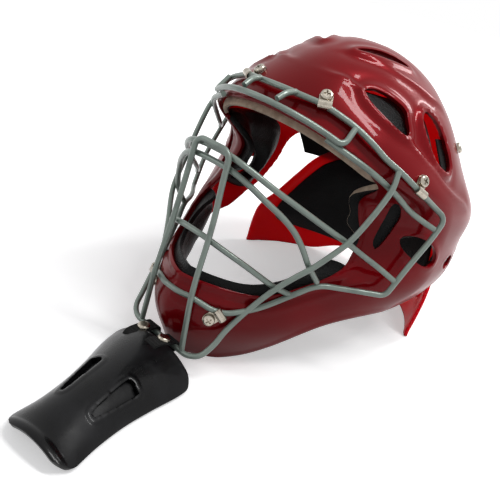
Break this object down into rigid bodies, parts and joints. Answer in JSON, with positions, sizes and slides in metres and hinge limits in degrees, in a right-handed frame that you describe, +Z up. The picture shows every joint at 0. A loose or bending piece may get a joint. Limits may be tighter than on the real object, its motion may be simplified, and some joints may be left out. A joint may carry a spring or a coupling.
{
  "type": "baseball catcher helmet",
  "caption": "Hard-shell catcher helmet with a welded wire face cage, foam padding, a sliding nape plate on elastic straps and a hanging throat guard.",
  "frame": {"origin": "middle of the chin's flat foot, on the floor and in the head's mid plane", "axes": "+X to the wearer's left, +Y to the back of the head, +Z up from the floor"},
  "size_m": [0.2206, 0.3982, 0.2236],
  "materials": {
    "red_shell": "gloss",
    "cage_wire": "satin",
    "nickel": "polished",
    "padding": "matte",
    "elastic": "matte",
    "strap": "matte",
    "black_gloss": "gloss"
  },
  "bodies": {
    "helmet": {"front_shell": "red_shell", "perimeter_wire": "cage_wire", "brow_loop": "cage_wire", "brow_side_bars": "cage_wire", "brow_struts": "cage_wire", "upper_eye_bar": "cage_wire", "lower_eye_bar": "cage_wire", "mouth_bar": "cage_wire", "centre_loop": "cage_wire", "chin_loop": "cage_wire", "forehead_clips": "nickel", "temple_clips": "nickel", "chin_clips": "nickel", "cage_screws": "nickel", "tee_nuts": "nickel", "strap_screws": "nickel", "brow_pad": "padding", "side_pad_left": "padding", "side_pad_right": "padding", "jaw_pad": "padding", "crown_pad": "padding"},
    "nape": {"nape_plate": "red_shell", "nape_pad": "padding", "left_strap": "elastic", "right_strap": "elastic", "top_strap": "elastic"},
    "guard": {"throat_guard": "black_gloss", "guard_strap_left": "strap", "guard_strap_right": "strap", "strap_snaps": "nickel"}
  },
  "joints": [
    {"name": "nape_fit", "type": "slide", "parent": "helmet", "child": "nape", "axis": [0, -0.9925, 0.1219], "range_m": [0, 0.008]},
    {"name": "guard_lift", "type": "hinge", "parent": "helmet", "child": "guard", "pos_m": [0, -0.0139, 0.01361], "axis": [-1, 0, 0], "range_deg": [-55, 48]}
  ]
}
